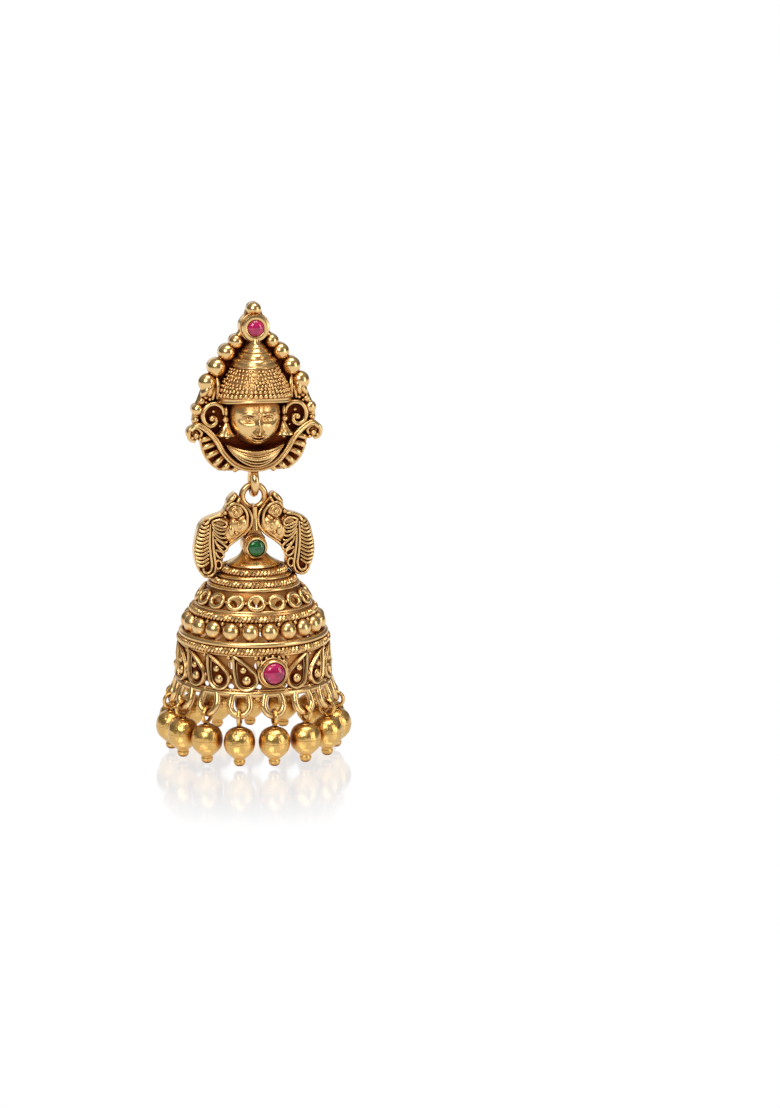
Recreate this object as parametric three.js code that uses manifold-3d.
// A jhumka earring: a cast stud with a crowned head, and a pierced bell that hangs below it
// on two linked rings, fringed with ball drops. Millimetres, +Z up, the front faces -Y.
// The origin is where the ear post meets the flat back of the stud.

import * as THREE from "three";
import { LoftGeometry } from "three/addons/geometries/LoftGeometry.js";
import { mergeVertices } from "three/addons/utils/BufferGeometryUtils.js";
import Module from "manifold-3d";

// Stud
const STUD_HEIGHT = 22;
const STUD_HALF_WIDTH = 8.95;
const POST_ABOVE_FOOT = 11.56; // height of the post above the stud's lower edge
const PLATE_THICKNESS = 1.1;
const EDGE_BEAD_RADIUS = 1.2;
const EDGE_BEAD_DEPTH = 2.5;
const FINIAL_RADIUS = 0.95;
const FINIAL_DEPTH = 2.1;
const SCROLL_WIRE_RADIUS = 0.24;
const SCROLL_RADIUS = 1.2;
const CURL_RADIUS = 1.05;
const EAR_GRAIN_RADIUS = 0.45;
const EAR_DROP_RADIUS = 0.95;
const GARLAND_WIRE_RADIUS = 0.26;
const RIB_WIDTH = 0.7;
const RIB_HEIGHT = 0.75;
const RIB_LENGTH = 1.5;
const RIBS_A_SIDE = 5;
const COLLAR_HALF_WIDTH = 4.1;
const COLLAR_HEIGHT = 1.9;
const COLLAR_DEPTH = 3;

// Head and crown
const HEAD_HALF_WIDTH = 3.35;
const HEAD_HEIGHT = 7.6;
const HEAD_DEPTH = 4.1; // from the plate to the front of the cheeks
const NOSE_LENGTH = 2.1;
const NOSE_HALF_WIDTH = 0.6;
const NOSE_PROUD = 0.45;
const CROWN_RADIUS = 4.85;
const CROWN_HEIGHT = 7.9;
const CROWN_FORWARD = 0.5; // how far the crown's axis lies in front of the plate

// Stones and the tubes that hold them
const STUD_STONE_RADIUS = 1.08;
const CREST_STONE_RADIUS = 1;
const BELL_STONE_RADIUS = 1.4;
const STUD_COLLET_DEPTH = 2.7;
const STUD_COLLET_FOOT_RADIUS = 1.85;
const COLLET_WALL = 0.42;
const STONE_GAP = 0.12;
const STONE_SEAT = 0.5; // depth of the pocket that a stone sits in

// Ear post and clutch
const POST_RADIUS = 0.5;
const POST_LENGTH = 10.9;
const POST_GROOVE = 0.1;
const POST_GROOVE_BACK = 2.2; // from the post's end to the middle of the groove
const POST_GROOVE_HALF_LENGTH = 0.5;
const CLUTCH_CLEARANCE = 0.15;
const CLUTCH_STANDOFF = 1.5; // from the stud's back to the disc
const CLUTCH_DISC_RADIUS = 3.6;
const CLUTCH_DISC_THICKNESS = 0.8;
const CLUTCH_DISH = 0.35;
const CLUTCH_BARREL_RADIUS = 1.5;
const CLUTCH_BARREL_LENGTH = 3.1;
const CLUTCH_FLANGE = 0.2;
const CLUTCH_FLANGE_LENGTH = 0.6;

// The two linked rings
const LINK_CLEARANCE = 0.15; // between the two wires where the bell ring hangs
const STUD_RING_RADIUS = 1.51; // to the middle of its wire
const STUD_RING_WIRE_RADIUS = 0.52;
const BELL_RING_RADIUS = 1.5; // to the middle of its wire
const BELL_RING_WIRE_RADIUS = 0.42;
const RINGS_BEHIND_FRONT = 0.8; // how far the rings' middle lies in front of the stud's back

// Crest of two peacocks
const CREST_HALF_WIDTH = 7.9;
const CREST_HEIGHT = 8.8; // from the middle of the bell ring to the top of the bell
const CREST_THICKNESS = 1.7;
const CREST_DRUM_RADIUS = 1.55;
const CREST_DRUM_FRONT = 2.5;
const BIRD_HEAD_RADIUS = 0.95;
const BIRD_PROUD = 1.9;
const SPINE_WIRE_RADIUS = 0.26;

// Bell
const BELL_RADIUS = 9.95; // to the middle of the rim wire
const BELL_HEIGHT = 15.25; // from the top of the cap to the middle of the rim wire
const BELL_TURN = 4.5; // degrees that the bell's stone lies to the right of the front
const CAP_WALL = 0.7;
const CREST_FOOT_HEIGHT = 1; // the dome on the cap that the crest stands on
const FINE_WIRE_RADIUS = 0.28;
const STOUT_WIRE_RADIUS = 0.37;
const GALLERY_RINGS = 16;
const GALLERY_WIRE = 0.45; // half of the metal between two eyes
const COURSE_BEADS = 21;
const COURSE_BEAD_RADIUS = 1.12;
const BAND_CELLS = 17; // teardrops, with the stone in place of one of them
const CELL_HALF_WIDTH = 1.42;
const CELL_PLATE = 0.45;
const CELL_BORDER = 0.3;
const CELL_BORDER_HEIGHT = 0.35;
const CELL_GRAIN_RADIUS = 0.66;
const CELL_GRAIN_HEIGHT = 0.55;
const BELL_STONE_PROUD = 1.1;
const BITE = 0.12; // how deep soldered pieces run into each other

// Fringe
const DROPS = 15;
const STAPLE_HALF_WIDTH = 1.3;
const STAPLE_ARM = 1.45;
const STAPLE_WIRE_RADIUS = 0.38;
const STAPLE_FLARE = 0.9; // how far a staple's foot stands outside the rim
const DROP_GAP = 0.15;
const DROP_SLACK = 0.22; // how far a drop's ring hangs below the middle of its staple's wire
const DROP_RING_WIRE_RADIUS = 0.2;
const DROP_RADIUS = 2.1;
const DROP_HEIGHT = 4.1;
const DROP_NECK = 0.42;
const DROP_NECK_RADIUS = 0.6;
const DROP_TIP_RADIUS = 0.6;
const DROP_TIP_LENGTH = 0.9;

// Facets
const ROUND_SIDES = 12;
const BEAD_SIDES = 10;
const GRAIN_SIDES = 5;
const WIRE_SIDES = 5;
const WELD = 1e-4;

// Shares of STUD_HALF_WIDTH and STUD_HEIGHT, from the stud's lower edge up.
const PLATE_EDGE = [
  { across: 0.09, up: 0.965 },
  { across: 0.17, up: 0.86 },
  { across: 0.19, up: 0.79 },
  { across: 0.32, up: 0.74 },
  { across: 0.44, up: 0.67 },
  { across: 0.6, up: 0.58 },
  { across: 0.74, up: 0.48 },
  { across: 0.78, up: 0.42 },
  { across: 0.88, up: 0.36 },
  { across: 0.9, up: 0.29 },
  { across: 0.8, up: 0.19 },
  { across: 0.77, up: 0.13 },
  { across: 0.69, up: 0.065 },
  { across: 0.56, up: 0.015 },
  { across: 0.42, up: 0 },
];
const EDGE_BEADS = [
  { across: 0.257, up: 0.77, size: 0.72 },
  { across: 0.391, up: 0.707, size: 0.84 },
  { across: 0.542, up: 0.622, size: 0.96 },
  { across: 0.676, up: 0.52, size: 1 },
  { across: 0.765, up: 0.427, size: 0.42 },
  { across: 0.832, up: 0.372, size: 0.63 },
  { across: 0.858, up: 0.312, size: 0.4 },
];
const FINIAL_UP = 0.959;
const STUD_STONE_UP = 0.856;
const HEAD_UP = 0.335;
const CROWN_UP = 0.45;
const COLLAR_UP = 0.16;
const GARLAND = [
  { across: 0.8, up: 0.272 },
  { across: 0.71, up: 0.25 },
  { across: 0.6, up: 0.195 },
  { across: 0.5, up: 0.13 },
  { across: 0.39, up: 0.07 },
  { across: 0.24, up: 0.032 },
  { across: 0, up: 0.018 },
];
const CURL = { across: 0.875, up: 0.238 };
const SIDE_SCROLL = { across: 0.565, up: 0.345 };
const EAR_GRAIN = { across: 0.41, up: 0.312 };
const EAR_DROP = { across: 0.43, up: 0.243 };
const RIB_LOW = { across: 0.2, up: 0.015 };
const RIB_HIGH = { across: 0.745, up: 0.18 };

// Shares of the head's half width, depth and half height, from its middle.
const EYE = { across: 0.403, up: 0.2, sunk: 0.146, wide: 0.215, deep: 0.102, high: 0.079 };
const MOUTH = { across: 0, up: -0.46, sunk: 0.159, wide: 0.313, deep: 0.11, high: 0.087 };
const CHIN = { across: 0, up: -0.75, sunk: 0.329, wide: 0.313, deep: 0.183, high: 0.171 };

// Shares of CROWN_RADIUS and CROWN_HEIGHT, from the brim up.
const CROWN_PROFILE = [
  { out: 0, up: 0 },
  { out: 0.9, up: 0 },
  { out: 1, up: 0.035 },
  { out: 0.98, up: 0.13 },
  { out: 0.8, up: 0.3 },
  { out: 0.62, up: 0.53 },
  { out: 0.62, up: 0.66 },
  { out: 0.42, up: 0.69 },
  { out: 0.16, up: 1 },
  { out: 0, up: 1 },
];

// Shares of CREST_HALF_WIDTH and CREST_HEIGHT, from the middle of the bell ring down.
const CREST_EDGE = [
  { across: 0.05, down: 0.3 },
  { across: 0.12, down: 0.12 },
  { across: 0.27, down: 0.0 },
  { across: 0.42, down: 0.11 },
  { across: 0.46, down: 0.22 },
  { across: 0.54, down: 0.29 },
  { across: 0.74, down: 0.36 },
  { across: 0.88, down: 0.48 },
  { across: 0.97, down: 0.66 },
  { across: 1, down: 0.88 },
  { across: 0.96, down: 1.06 },
  { across: 0.84, down: 1.2 },
  { across: 0.72, down: 1.22 },
  { across: 0.6, down: 1.14 },
  { across: 0.49, down: 1 },
  { across: 0.43, down: 0.87 },
  { across: 0.41, down: 0.77 },
  { across: 0.3, down: 0.71 },
  { across: 0.18, down: 0.6 },
  { across: 0.05, down: 0.62 },
];
const SPINE = [
  { across: 0.68, down: 0.42 },
  { across: 0.72, down: 0.7 },
  { across: 0.72, down: 1 },
  { across: 0.76, down: 1.16 },
];
const BIRD_HEAD = { across: 0.3, down: 0.24 };
const BIRD_BREAST = { across: 0.33, down: 0.52, halfWidth: 0.17, halfHeight: 0.22 };
const DRUM_DOWN = 0.731;
const COLUMN_HALF_WIDTH = 0.95;

// Shares of BELL_RADIUS and BELL_HEIGHT, from the top of the cap down.
const COURSES = {
  collar: { out: 0.29, down: 0 },
  ropeHigh: { out: 0.402, down: 0.048 },
  stepHigh: { out: 0.487, down: 0.093 },
  ropeLow: { out: 0.523, down: 0.136 },
  stepLow: { out: 0.58, down: 0.167 },
  shoulder: { out: 0.794, down: 0.387 },
  ledge: { out: 0.948, down: 0.592 },
  ropeBand: { out: 0.965, down: 0.635 },
  rim: { out: 1, down: 1 },
};
// Shares of the round part's radius, for a cell whose tip leans right.
const CELL_EDGE = [
  { across: 1.12, up: 2.1 },
  { across: -0.35, up: 1.1 },
  { across: -1.2, up: 0.05 },
  { across: -0.72, up: -1 },
  { across: 0.25, up: -1 },
  { across: 0.85, up: 0.15 },
];
const CELL_BIG_GRAIN = { across: -0.2, up: 0 };
const CELL_SMALL_GRAIN = { across: 0.22, up: 0.95, size: 0.65 };

// Shares of DROP_RADIUS and DROP_HEIGHT, from the top of the ball down.
const DROP_PROFILE = [
  { out: 0.97, down: 0.28 },
  { out: 0.97, down: 0.66 },
];

const wasm = await Module();
wasm.setup();

// Solids

// A closed geometry as a solid that can be joined to others and cut.
function solid(geometry) {
  const bare = new THREE.BufferGeometry();
  bare.setAttribute("position", geometry.getAttribute("position"));
  bare.setIndex(geometry.index);
  const merged = mergeVertices(bare, WELD);
  const corners = merged.index.array;
  const faces = [];
  for (let i = 0; i < corners.length; i += 3) {
    const [a, b, c] = corners.slice(i, i + 3);
    if (a !== b && b !== c && c !== a) faces.push(a, b, c);
  }
  return new wasm.Manifold(
    new wasm.Mesh({
      numProp: 3,
      vertProperties: new Float32Array(merged.getAttribute("position").array),
      triVerts: new Uint32Array(faces),
    }),
  );
}

function joined(geometries) {
  return geometries.map(solid).reduce((whole, next) => whole.add(next));
}

function geometryOf(made) {
  const { vertProperties, triVerts } = made.getMesh();
  const geometry = new THREE.BufferGeometry();
  geometry.setAttribute("position", new THREE.BufferAttribute(vertProperties, 3));
  geometry.setIndex(new THREE.BufferAttribute(triVerts, 1));
  geometry.computeVertexNormals();
  return geometry;
}

// The same geometry on the other side of the YZ plane.
function mirrored(geometry) {
  const other = geometry.index ? geometry.toNonIndexed() : geometry.clone();
  other.scale(-1, 1, 1);
  const { array } = other.getAttribute("position");
  for (let i = 0; i < array.length; i += 9) {
    for (let k = 0; k < 3; k += 1) {
      [array[i + 3 + k], array[i + 6 + k]] = [array[i + 6 + k], array[i + 3 + k]];
    }
  }
  return other;
}

function bothSides(geometries) {
  return [...geometries, ...geometries.map(mirrored)];
}

// Basic forms

function polygon(radius, sides) {
  const points = [];
  for (let i = 0; i < sides; i += 1) {
    const angle = (2 * Math.PI * i) / sides;
    points.push(new THREE.Vector2(radius * Math.cos(angle), radius * Math.sin(angle)));
  }
  return new THREE.Shape(points);
}

// A round wire along a smooth line through the points.
function wire(points, radius, steps) {
  const extrudePath = new THREE.CatmullRomCurve3(points);
  const shape = polygon(radius, WIRE_SIDES);
  return new THREE.ExtrudeGeometry(shape, { steps, extrudePath, bevelEnabled: false });
}

// A shape drawn in X and Z, from the plane y = back towards the front by depth.
function plate(shape, depth, back) {
  const geometry = new THREE.ExtrudeGeometry(shape, { depth, bevelEnabled: false });
  return geometry.rotateX(Math.PI / 2).translate(0, back, 0);
}

// A profile of [radius, height] turned about Z.
function turned(profile, sides) {
  const points = profile.map(([out, up]) => new THREE.Vector2(out, up));
  return new THREE.LatheGeometry(points, sides).rotateX(Math.PI / 2);
}

// A profile of [radius, distance in front of the back plane] turned about Y.
function turnedFacing(profile, sides, x, back, z) {
  return turned(profile, sides).rotateX(Math.PI / 2).translate(x, back, z);
}

// A ring in the XZ plane.
function facingRing(radius, wireRadius, sides, wireSides = WIRE_SIDES) {
  return new THREE.TorusGeometry(radius, wireRadius, wireSides, sides).rotateX(Math.PI / 2);
}

function ellipsoid(x, y, z, radii, across, high) {
  const ball = new THREE.SphereGeometry(1, across, high).rotateX(Math.PI / 2);
  return ball.scale(...radii).translate(x, y, z);
}

// A round-nosed boss that stands on the plane y = back and faces the front.
function boss(x, z, radius, depth, back, sides = BEAD_SIDES) {
  const shoulder = Math.max(depth - radius, 0);
  const nose = depth - shoulder;
  const profile = [
    [0, 0],
    [radius, 0],
    [radius, shoulder],
    [0.75 * radius, shoulder + 0.66 * nose],
    [0, depth],
  ];
  return turnedFacing(profile, sides, x, back, z);
}

// A small low dome on the plane y = back.
function grain(x, z, radius, depth, back) {
  const profile = [
    [0, 0],
    [radius, 0],
    [0.8 * radius, 0.65 * depth],
    [0, depth],
  ];
  return turnedFacing(profile, GRAIN_SIDES, x, back, z);
}

// A tube with a flat pocket in its mouth, and the smooth stone that fits the pocket.
function collet(stoneRadius, baseRadius, depth, back, x, z) {
  const pocket = stoneRadius + STONE_GAP;
  const profile = [
    [0, 0],
    [baseRadius, 0],
    [pocket + COLLET_WALL, depth],
    [pocket, depth],
    [pocket, depth - STONE_SEAT],
    [0, depth - STONE_SEAT],
  ];
  return turnedFacing(profile, ROUND_SIDES, x, back, z);
}

function stone(radius, depth, back, x, z) {
  const foot = depth - STONE_SEAT + STONE_GAP;
  const rise = 0.6 * radius;
  const profile = [
    [0, foot],
    [radius, foot],
    [radius, depth + 0.1 * rise],
    [0.68 * radius, depth + 0.75 * rise],
    [0, depth + rise],
  ];
  return turnedFacing(profile, ROUND_SIDES, x, back, z);
}

// Places worked out from the sizes

const upStud = (share) => share * STUD_HEIGHT - POST_ABOVE_FOOT;
const acrossStud = (share) => share * STUD_HALF_WIDTH;
const studRingUp = -POST_ABOVE_FOOT - STUD_RING_RADIUS;
const linkDrop = STUD_RING_RADIUS - STUD_RING_WIRE_RADIUS - LINK_CLEARANCE - BELL_RING_WIRE_RADIUS;
const hinge = new THREE.Vector3(0, -RINGS_BEHIND_FRONT, studRingUp - linkDrop);
const bellRingUp = hinge.z - BELL_RING_RADIUS;
const bellTop = bellRingUp - CREST_HEIGHT;
const downCrest = (share) => bellRingUp - share * CREST_HEIGHT;
const acrossCrest = (share) => share * CREST_HALF_WIDTH;
const outBell = (course) => COURSES[course].out * BELL_RADIUS;
const bellTurn = THREE.MathUtils.degToRad(BELL_TURN);
const halfCell = Math.PI / BAND_CELLS;
const downBell = (course) => bellTop - COURSES[course].down * BELL_HEIGHT;

// Stud

function studPlate() {
  const right = PLATE_EDGE.map(({ across, up }) => [acrossStud(across), upStud(up)]);
  const left = right.map(([x, z]) => [-x, z]).reverse();
  const shape = new THREE.Shape([...right, ...left].map(([x, z]) => new THREE.Vector2(x, z)));
  return plate(shape, PLATE_THICKNESS, 0);
}

function edgeBeads() {
  const beads = EDGE_BEADS.map(({ across, up, size }) => {
    const radius = size * EDGE_BEAD_RADIUS;
    const depth = Math.max(size, 0.8) * EDGE_BEAD_DEPTH;
    const make = size < 0.5 ? grain : boss;
    return make(acrossStud(across), upStud(up), radius, depth, 0);
  });
  return bothSides(beads);
}

function sideScroll() {
  const middle = [acrossStud(SIDE_SCROLL.across), upStud(SIDE_SCROLL.up)];
  const points = [];
  const turns = 9;
  for (let i = 0; i <= turns; i += 1) {
    const share = i / turns;
    const angle = Math.PI * (0.95 - 1.65 * share);
    const radius = SCROLL_RADIUS * (1 - 0.62 * share ** 2);
    const x = middle[0] + radius * Math.cos(angle);
    const z = middle[1] + radius * Math.sin(angle);
    points.push(new THREE.Vector3(x, -PLATE_THICKNESS - 0.5 * SCROLL_WIRE_RADIUS, z));
  }
  return wire(points, SCROLL_WIRE_RADIUS, 9);
}

function garland() {
  const y = -PLATE_THICKNESS - RIB_HEIGHT;
  const right = GARLAND.map(({ across, up }) => new THREE.Vector3(acrossStud(across), y, upStud(up)));
  const left = right.slice(0, -1).map((point) => new THREE.Vector3(-point.x, y, point.z));
  return wire([...right, ...left.reverse()], GARLAND_WIRE_RADIUS, 16);
}

function curl() {
  const depth = PLATE_THICKNESS + RIB_HEIGHT + GARLAND_WIRE_RADIUS;
  return boss(acrossStud(CURL.across), upStud(CURL.up), CURL_RADIUS, depth, 0);
}

// Bars that fan out from the garland to the plate's lower edge.
function ribs() {
  const bars = [];
  for (let i = 0; i < RIBS_A_SIDE; i += 1) {
    const share = (i + 0.5) / RIBS_A_SIDE;
    const x = acrossStud(THREE.MathUtils.lerp(RIB_LOW.across, RIB_HIGH.across, share));
    const z = upStud(THREE.MathUtils.lerp(RIB_LOW.up, RIB_HIGH.up, share ** 1.6));
    const lean = THREE.MathUtils.lerp(0.25, 1.25, share);
    const bar = new THREE.BoxGeometry(RIB_WIDTH, PLATE_THICKNESS + RIB_HEIGHT, RIB_LENGTH);
    bar.rotateY(-lean).translate(x, -(PLATE_THICKNESS + RIB_HEIGHT) / 2, z);
    bars.push(bar);
  }
  return bothSides(bars);
}

// The crescent under the chin, deepest in the middle.
function collar() {
  const sections = [];
  const steps = 6;
  for (let i = 0; i <= steps; i += 1) {
    const share = (2 * i) / steps - 1;
    const full = Math.sqrt(Math.max(1 - share ** 2, 0.02));
    const x = share * COLLAR_HALF_WIDTH;
    const middle = upStud(COLLAR_UP) + 1.35 * share ** 2 * COLLAR_HEIGHT * 0.6;
    const half = (COLLAR_HEIGHT / 2) * full;
    const front = -PLATE_THICKNESS - (COLLAR_DEPTH - BITE) * full;
    const back = -PLATE_THICKNESS + BITE;
    sections.push([
      new THREE.Vector3(x, back, middle + half),
      new THREE.Vector3(x, front, middle + half),
      new THREE.Vector3(x, front, middle + 0.2 * half),
      new THREE.Vector3(x, (back + front) / 2, middle - half),
      new THREE.Vector3(x, back, middle - half),
    ]);
  }
  return new LoftGeometry(sections, { capStart: true, capEnd: true });
}

function earDrop() {
  const { across, up } = EAR_DROP;
  const radius = EAR_DROP_RADIUS;
  const profile = [
    [0, -0.8 * radius],
    [0.75 * radius, -0.8 * radius],
    [radius, -0.3 * radius],
    [0.35 * radius, 0.7 * radius],
    [0, 0.8 * radius],
  ];
  const y = -PLATE_THICKNESS - 0.6 * radius;
  return turned(profile, GRAIN_SIDES).translate(acrossStud(across), y, upStud(up));
}

function earGrain() {
  const { across, up } = EAR_GRAIN;
  const depth = PLATE_THICKNESS + 2.2 * EAR_GRAIN_RADIUS;
  return boss(acrossStud(across), upStud(up), EAR_GRAIN_RADIUS, depth, 0, GRAIN_SIDES);
}

// A wedge that rises from the brow to the tip.
function nose(front, z) {
  const root = front + 0.24 * HEAD_DEPTH;
  const tip = front - NOSE_PROUD;
  const half = NOSE_HALF_WIDTH;
  const side = tip + 0.83 * half;
  const top = z + NOSE_LENGTH;
  const low = [
    new THREE.Vector3(half, root, z),
    new THREE.Vector3(half, side, z),
    new THREE.Vector3(0, tip, z),
    new THREE.Vector3(-half, side, z),
    new THREE.Vector3(-half, root, z),
  ];
  const bridge = front + 0.05 * HEAD_DEPTH;
  const high = low.map(({ x, y }) => new THREE.Vector3(0.4 * x, Math.max(y, bridge), top));
  return new LoftGeometry([high, low], { capStart: true, capEnd: true });
}

function headParts() {
  const z = upStud(HEAD_UP);
  const half = HEAD_HEIGHT / 2;
  const front = -PLATE_THICKNESS - HEAD_DEPTH;
  const feature = ({ across, up, sunk, wide, deep, high }, rows) => {
    const radii = [wide * HEAD_HALF_WIDTH, deep * HEAD_DEPTH, high * half];
    return ellipsoid(across * HEAD_HALF_WIDTH, front + sunk * HEAD_DEPTH, z + up * half, radii, 8, rows);
  };
  return [
    ellipsoid(0, -PLATE_THICKNESS, z, [HEAD_HALF_WIDTH, HEAD_DEPTH, half], 12, 6),
    nose(front, z - 0.22 * half),
    feature(MOUTH, 4),
    feature(CHIN, 4),
    ...bothSides([feature(EYE, 3)]),
  ];
}

function crown() {
  const profile = CROWN_PROFILE.map(({ out, up }) => [out * CROWN_RADIUS, up * CROWN_HEIGHT]);
  return turned(profile, 14).translate(0, -PLATE_THICKNESS - CROWN_FORWARD, upStud(CROWN_UP));
}

function studRing() {
  const ring = new THREE.TorusGeometry(STUD_RING_RADIUS, STUD_RING_WIRE_RADIUS, WIRE_SIDES, ROUND_SIDES);
  ring.rotateY(Math.PI / 2).translate(0, hinge.y, studRingUp);
  return ring;
}

function earPost() {
  const grooveAt = POST_LENGTH - POST_GROOVE_BACK;
  const profile = [
    [0, -BITE],
    [POST_RADIUS, -BITE],
    [POST_RADIUS, grooveAt - POST_GROOVE_HALF_LENGTH],
    [POST_RADIUS - POST_GROOVE, grooveAt],
    [POST_RADIUS, grooveAt + POST_GROOVE_HALF_LENGTH],
    [POST_RADIUS, POST_LENGTH - 0.5 * POST_RADIUS],
    [0.6 * POST_RADIUS, POST_LENGTH],
    [0, POST_LENGTH],
  ];
  return turned(profile, BEAD_SIDES).rotateX(-Math.PI / 2);
}

function studFinial() {
  return boss(0, upStud(FINIAL_UP), FINIAL_RADIUS, FINIAL_DEPTH, 0);
}

// The clear way in front of the stud's stone.
function stoneOpening(x, z) {
  const radius = STUD_STONE_RADIUS + STONE_GAP;
  const foot = STUD_COLLET_DEPTH - STONE_SEAT;
  const front = PLATE_THICKNESS + 2 * CROWN_RADIUS;
  const profile = [
    [0, foot],
    [radius, foot],
    [radius, front],
    [0, front],
  ];
  return turnedFacing(profile, ROUND_SIDES, x, 0, z);
}

function stud() {
  const stoneUp = upStud(STUD_STONE_UP);
  const behind = new THREE.BoxGeometry(4 * CROWN_RADIUS, 2 * CROWN_RADIUS, 4 * STUD_HEIGHT);
  behind.translate(0, CROWN_RADIUS - 0.5 * PLATE_THICKNESS, 0);
  const uncut = joined([...headParts(), crown()]);
  const headAndCrown = uncut.subtract(solid(behind)).subtract(solid(stoneOpening(0, stoneUp)));
  const rest = joined([
    studPlate(),
    ...edgeBeads(),
    studFinial(),
    collet(STUD_STONE_RADIUS, STUD_COLLET_FOOT_RADIUS, STUD_COLLET_DEPTH, 0, 0, stoneUp),
    ...bothSides([sideScroll(), curl(), earDrop(), earGrain()]),
    garland(),
    ...ribs(),
    collar(),
    studRing(),
    earPost(),
  ]);
  return rest.add(headAndCrown);
}

// Clutch that slides on the post

function clutch() {
  const bore = POST_RADIUS + CLUTCH_CLEARANCE;
  const back = CLUTCH_STANDOFF + CLUTCH_DISC_THICKNESS;
  const end = back + CLUTCH_BARREL_LENGTH;
  const edge = 0.25 * CLUTCH_DISC_THICKNESS;
  const profile = [
    [bore, CLUTCH_STANDOFF + CLUTCH_DISH],
    [CLUTCH_DISC_RADIUS - edge, CLUTCH_STANDOFF],
    [CLUTCH_DISC_RADIUS, CLUTCH_STANDOFF + edge],
    [CLUTCH_DISC_RADIUS - edge, back - 0.5 * edge],
    [CLUTCH_BARREL_RADIUS, back],
    [CLUTCH_BARREL_RADIUS, end - CLUTCH_FLANGE_LENGTH],
    [CLUTCH_BARREL_RADIUS + CLUTCH_FLANGE, end - 0.75 * CLUTCH_FLANGE_LENGTH],
    [CLUTCH_BARREL_RADIUS + CLUTCH_FLANGE, end],
    [bore, end],
    [bore, CLUTCH_STANDOFF + CLUTCH_DISH],
  ];
  return solid(turned(profile, 14).rotateX(-Math.PI / 2));
}

// Crest

function birdPlate() {
  const shape = new THREE.Shape(
    CREST_EDGE.map(({ across, down }) => new THREE.Vector2(acrossCrest(across), downCrest(down))),
  );
  return plate(shape, CREST_THICKNESS, CREST_THICKNESS / 2);
}

function bird() {
  const front = -CREST_THICKNESS / 2;
  const headX = acrossCrest(BIRD_HEAD.across);
  const headZ = downCrest(BIRD_HEAD.down);
  const breastRadii = [
    BIRD_BREAST.halfWidth * CREST_HALF_WIDTH,
    BIRD_PROUD,
    BIRD_BREAST.halfHeight * CREST_HEIGHT,
  ];
  const spine = SPINE.map(
    ({ across, down }) => new THREE.Vector3(acrossCrest(across), front, downCrest(down)),
  );
  return [
    birdPlate(),
    ellipsoid(headX, front - 0.63 * BIRD_HEAD_RADIUS, headZ, Array(3).fill(BIRD_HEAD_RADIUS), BEAD_SIDES, 4),
    ellipsoid(
      acrossCrest(BIRD_BREAST.across),
      front,
      downCrest(BIRD_BREAST.down),
      breastRadii,
      BEAD_SIDES,
      4,
    ),
    wire(spine, SPINE_WIRE_RADIUS, 6),
  ];
}

function crest() {
  const drumUp = downCrest(DRUM_DOWN);
  const columnTop = bellRingUp - BELL_RING_RADIUS + BITE;
  const column = new THREE.BoxGeometry(
    2 * COLUMN_HALF_WIDTH,
    CREST_THICKNESS,
    columnTop - drumUp,
  );
  column.translate(0, 0, (columnTop + drumUp) / 2);
  const ring = facingRing(BELL_RING_RADIUS, BELL_RING_WIRE_RADIUS, ROUND_SIDES);
  const depth = CREST_DRUM_FRONT + CREST_DRUM_RADIUS;
  return [
    ...bothSides(bird()),
    column,
    ring.translate(0, 0, bellRingUp),
    collet(CREST_STONE_RADIUS, CREST_DRUM_RADIUS, depth, depth - CREST_DRUM_FRONT, 0, drumUp),
  ];
}

// Bell

// The stepped cap with a foot that the crest stands on, then the gallery's wall and the
// shoulder wire, hollow underneath.
function cap() {
  const fine = FINE_WIRE_RADIUS;
  const stout = STOUT_WIRE_RADIUS;
  const outside = [
    [0, bellTop + CREST_FOOT_HEIGHT],
    [0.45 * outBell("collar"), bellTop + CREST_FOOT_HEIGHT],
    [outBell("collar"), bellTop + 0.5 * fine],
    [outBell("collar"), bellTop - 0.7 * fine],
  ];
  for (const course of ["ropeHigh", "stepHigh", "ropeLow", "stepLow"]) {
    const out = outBell(course);
    const z = downBell(course);
    outside.push([out - fine, z + 0.7 * fine], [out + fine, z + 0.3 * fine]);
  }
  const shoulder = outBell("shoulder");
  const low = downBell("shoulder");
  outside.push(
    [outBell("stepLow") + 0.6 * fine, downBell("stepLow") - 0.8 * fine],
    [shoulder, low + stout],
    [shoulder + stout, low],
    [shoulder, low - stout],
  );
  const inside = [
    [shoulder - 1.2 * stout, low - 0.4 * stout],
    [outBell("stepLow") - CAP_WALL, downBell("stepLow") - 2 * fine],
    [outBell("ropeHigh") - CAP_WALL, downBell("ropeHigh") - 1.6 * CAP_WALL],
    [0, bellTop - 1.3 * CAP_WALL],
  ];
  return turned([...outside, ...inside].reverse(), GALLERY_RINGS).rotateZ(bellTurn);
}

// The level ring of wire that closes the bell's mouth, flat behind each cell of the band.
function rim() {
  const ring = new THREE.TorusGeometry(outBell("rim"), STOUT_WIRE_RADIUS, WIRE_SIDES, BAND_CELLS);
  return ring.rotateZ(bellTurn + halfCell - Math.PI / 2).translate(0, 0, downBell("rim"));
}

// Copies of a geometry round the bell; place 0 is the bell's stone.
function roundBell(count, make, first = 0) {
  const copies = [];
  for (let i = 0; i < count; i += 1) {
    const angle = bellTurn + (2 * Math.PI * (i + first)) / count;
    copies.push(make(i + first).rotateZ(angle));
  }
  return copies;
}

// A place between two courses: its middle, the length between them and the lean of the wall.
function between(upper, lower) {
  const high = new THREE.Vector2(outBell(upper), downBell(upper));
  const low = new THREE.Vector2(outBell(lower), downBell(lower));
  const slope = low.clone().sub(high);
  return {
    middle: high.clone().lerp(low, 0.5),
    length: slope.length(),
    lean: Math.atan2(slope.x, -slope.y),
  };
}

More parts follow.
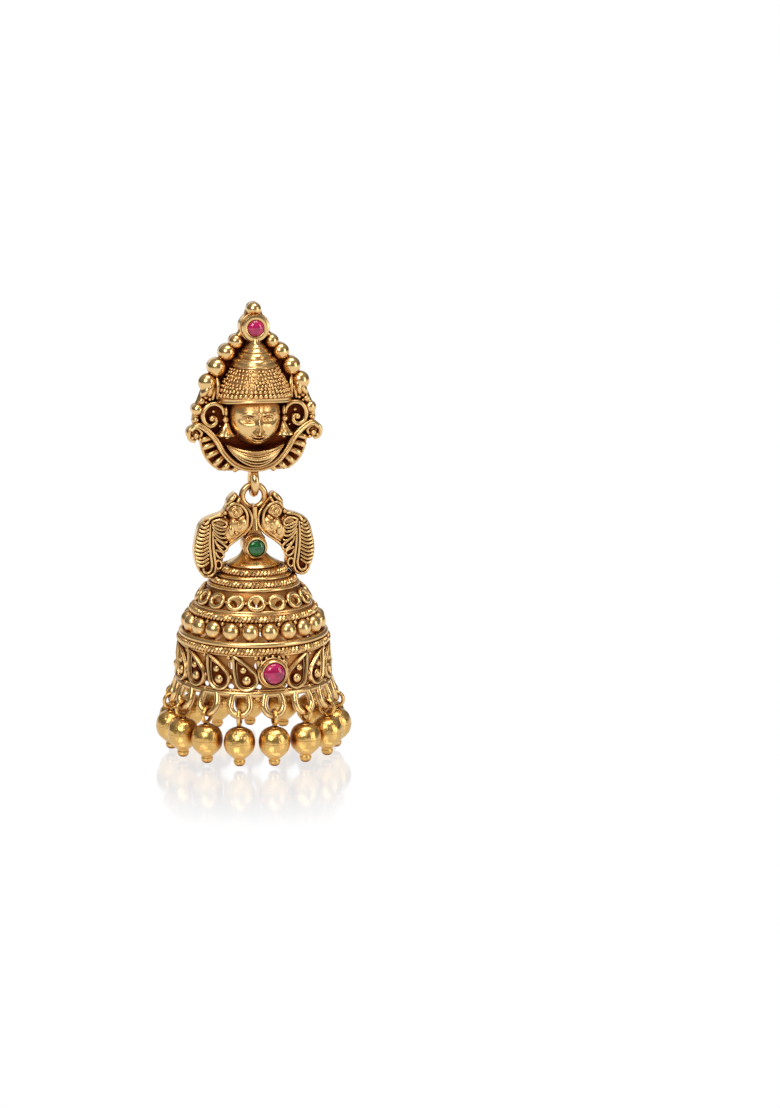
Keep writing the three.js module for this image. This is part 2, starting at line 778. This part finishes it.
// The eye of one of the gallery's rings, cut through the wall.
function galleryEye() {
  const { middle, length, lean } = between("stepLow", "shoulder");
  const wide = (Math.PI * middle.x) / GALLERY_RINGS - GALLERY_WIRE;
  const high = Math.min(wide, length / 2 - FINE_WIRE_RADIUS - GALLERY_WIRE);
  const eye = new THREE.ExtrudeGeometry(polygon(1, 8), { depth: 4 * CAP_WALL, bevelEnabled: false });
  eye.rotateX(Math.PI / 2).translate(0, 2 * CAP_WALL, 0).scale(wide, 1, high);
  return eye.rotateX(-lean).translate(0, -middle.x, middle.y);
}

function courseBead() {
  const { middle, length, lean } = between("shoulder", "ledge");
  const radii = [COURSE_BEAD_RADIUS, COURSE_BEAD_RADIUS, length / 2 - STOUT_WIRE_RADIUS + 2 * BITE];
  const bead = ellipsoid(0, 0, 0, radii, BEAD_SIDES, 3);
  return bead.rotateX(-lean).translate(0, -middle.x, middle.y);
}

// The two wires above the band, on one short wall.
function ledge() {
  const wall = outBell("ledge") - STOUT_WIRE_RADIUS;
  const profile = [
    [outBell("ropeBand"), downBell("ropeBand") - STOUT_WIRE_RADIUS - BITE],
    [outBell("ropeBand") + STOUT_WIRE_RADIUS, downBell("ropeBand") - 0.4 * STOUT_WIRE_RADIUS],
    [outBell("ropeBand") + 0.6 * STOUT_WIRE_RADIUS, downBell("ropeBand") + STOUT_WIRE_RADIUS],
    [outBell("ledge"), (downBell("ledge") + downBell("ropeBand")) / 2],
    [outBell("ledge") + STOUT_WIRE_RADIUS, downBell("ledge") - 0.3 * STOUT_WIRE_RADIUS],
    [outBell("ledge"), downBell("ledge") + STOUT_WIRE_RADIUS],
    [wall, downBell("ledge") + 0.5 * STOUT_WIRE_RADIUS],
    [outBell("ropeBand"), downBell("ropeBand") - STOUT_WIRE_RADIUS - BITE],
  ];
  return turned(profile, BAND_CELLS).rotateZ(bellTurn + halfCell);
}

const bandOut = (outBell("ropeBand") + outBell("rim")) / 2;
const bandHigh = downBell("ropeBand") - STOUT_WIRE_RADIUS;
const bandLow = downBell("rim") + STOUT_WIRE_RADIUS;
const cellUp = bandLow + CELL_HALF_WIDTH - BITE;
const cellLift = (bandHigh + BITE - cellUp) / (CELL_EDGE[0].up * CELL_HALF_WIDTH);

function cellOutline(inset) {
  return CELL_EDGE.map(({ across, up }) => {
    const shrink = 1 - inset / CELL_HALF_WIDTH;
    const lift = up > 0 ? cellLift : 1;
    return new THREE.Vector2(
      across * CELL_HALF_WIDTH * shrink,
      cellUp + up * lift * CELL_HALF_WIDTH * shrink,
    );
  });
}

// A teardrop cell: a floor with a raised border and two grains.
function bandCell(place) {
  const back = -bandOut + CELL_PLATE / 2;
  const face = back - CELL_PLATE;
  const tall = CELL_PLATE + CELL_BORDER_HEIGHT;
  const small = CELL_SMALL_GRAIN;
  const smallX = small.across * CELL_HALF_WIDTH;
  const smallZ = cellUp + small.up * CELL_HALF_WIDTH;
  const parts = [
    plate(new THREE.Shape(cellOutline(0)), tall, back),
    plate(new THREE.Shape(cellOutline(CELL_BORDER)), tall, face),
    grain(CELL_BIG_GRAIN.across * CELL_HALF_WIDTH, cellUp, CELL_GRAIN_RADIUS, CELL_GRAIN_HEIGHT, face + BITE),
    grain(smallX, smallZ, small.size * CELL_GRAIN_RADIUS, CELL_GRAIN_HEIGHT, face + BITE),
  ];
  const leansRight = place < BAND_CELLS / 2;
  const [block, pocket, ...grains] = leansRight ? parts : parts.map(mirrored);
  return geometryOf(solid(block).subtract(solid(pocket)).add(joined(grains)));
}

function bellCollet() {
  const middle = (bandHigh + bandLow) / 2;
  const base = (bandHigh - bandLow) / 2 + BITE;
  return collet(BELL_STONE_RADIUS, base, BELL_STONE_PROUD, -bandOut, 0, middle);
}

// Half loops under the rim that the drops hang from.
const stapleTop = downBell("rim");
const stapleFoot = stapleTop - STAPLE_ARM - STAPLE_HALF_WIDTH;
const stapleOut = BELL_RADIUS + STAPLE_FLARE;

function staple() {
  const points = [new THREE.Vector3(-STAPLE_HALF_WIDTH, -BELL_RADIUS, stapleTop - BITE)];
  const bends = 4;
  for (let i = 0; i <= bends; i += 1) {
    const angle = Math.PI * (1 + i / bends);
    const x = STAPLE_HALF_WIDTH * Math.cos(angle);
    const z = stapleTop - STAPLE_ARM + STAPLE_HALF_WIDTH * Math.sin(angle);
    const out = THREE.MathUtils.lerp(BELL_RADIUS, stapleOut, (stapleTop - z) / (stapleTop - stapleFoot));
    points.push(new THREE.Vector3(x, -out, z));
  }
  points.push(new THREE.Vector3(STAPLE_HALF_WIDTH, -BELL_RADIUS, stapleTop - BITE));
  return wire(points, STAPLE_WIRE_RADIUS, 5);
}

function bell() {
  const eyes = joined(roundBell(GALLERY_RINGS, galleryEye, 0.5));
  const pierced = solid(cap()).subtract(eyes);
  const rest = joined([
    ...crest(),
    ...roundBell(COURSE_BEADS, courseBead),
    ledge(),
    ...roundBell(BAND_CELLS, bandCell).slice(1),
    ...roundBell(BAND_CELLS, bellCollet).slice(0, 1),
    rim(),
    ...roundBell(DROPS, staple),
  ]);
  return pierced.add(rest);
}

// Drops, each a ball with its own ring through a staple

function drop() {
  const ringRadius = STAPLE_WIRE_RADIUS + DROP_GAP + DROP_SLACK + DROP_RING_WIRE_RADIUS;
  const ringUp = stapleFoot - DROP_SLACK;
  const ring = new THREE.TorusGeometry(ringRadius, DROP_RING_WIRE_RADIUS, WIRE_SIDES, BEAD_SIDES);
  ring.rotateY(Math.PI / 2).rotateX(Math.PI / 2).translate(0, 0, ringUp);
  const neckTop = ringUp - ringRadius;
  const ballTop = neckTop - DROP_NECK;
  const ballFoot = ballTop - DROP_HEIGHT;
  const profile = [
    [0, neckTop + DROP_RING_WIRE_RADIUS],
    [DROP_NECK_RADIUS, ballTop],
    ...DROP_PROFILE.map(({ out, down }) => [out * DROP_RADIUS, ballTop - down * DROP_HEIGHT]),
    [DROP_TIP_RADIUS, ballFoot],
    [0, ballFoot - DROP_TIP_LENGTH],
  ];
  return joined([ring, turned([...profile].reverse(), BEAD_SIDES)]);
}

// Assembly

const gold = () =>
  new THREE.MeshStandardMaterial({ color: 0xd29a3c, roughness: 0.34, metalness: 1 });
const ruby = () =>
  new THREE.MeshStandardMaterial({ color: 0xa8104a, roughness: 0.12, metalness: 0 });
const emerald = () =>
  new THREE.MeshStandardMaterial({ color: 0x1d6b34, roughness: 0.2, metalness: 0 });

const earring = new THREE.Group();

function place(parent, name, geometry, material) {
  const mesh = new THREE.Mesh(geometry, material);
  mesh.name = name;
  parent.add(mesh);
  return mesh;
}

place(earring, "stud", geometryOf(stud()), gold());
const studStone = stone(STUD_STONE_RADIUS, STUD_COLLET_DEPTH, 0, 0, upStud(STUD_STONE_UP));
place(earring, "stud_ruby", studStone, ruby());
place(earring, "clutch", geometryOf(clutch()), gold());

const hanging = new THREE.Group();
hanging.position.y = hinge.y;
earring.add(hanging);
place(hanging, "bell", geometryOf(bell()), gold());

const crestStone = stone(CREST_STONE_RADIUS, CREST_DRUM_FRONT, 0, 0, downCrest(DRUM_DOWN));
place(hanging, "crest_emerald", crestStone, emerald());

const bandMiddle = (bandHigh + bandLow) / 2;
const bellStone = stone(BELL_STONE_RADIUS, BELL_STONE_PROUD, -bandOut, 0, bandMiddle);
place(hanging, "bell_ruby", bellStone.rotateZ(bellTurn), ruby());

const dropGeometry = geometryOf(drop());
for (let i = 0; i < DROPS; i += 1) {
  const angle = BELL_TURN + (360 * i) / DROPS;
  const mesh = place(hanging, `drop_${String(i + 1).padStart(2, "0")}`, dropGeometry, gold());
  const turn = THREE.MathUtils.degToRad(angle);
  mesh.rotation.z = turn;
  mesh.position.set(stapleOut * Math.sin(turn), -stapleOut * Math.cos(turn), 0);
}

export default earring;
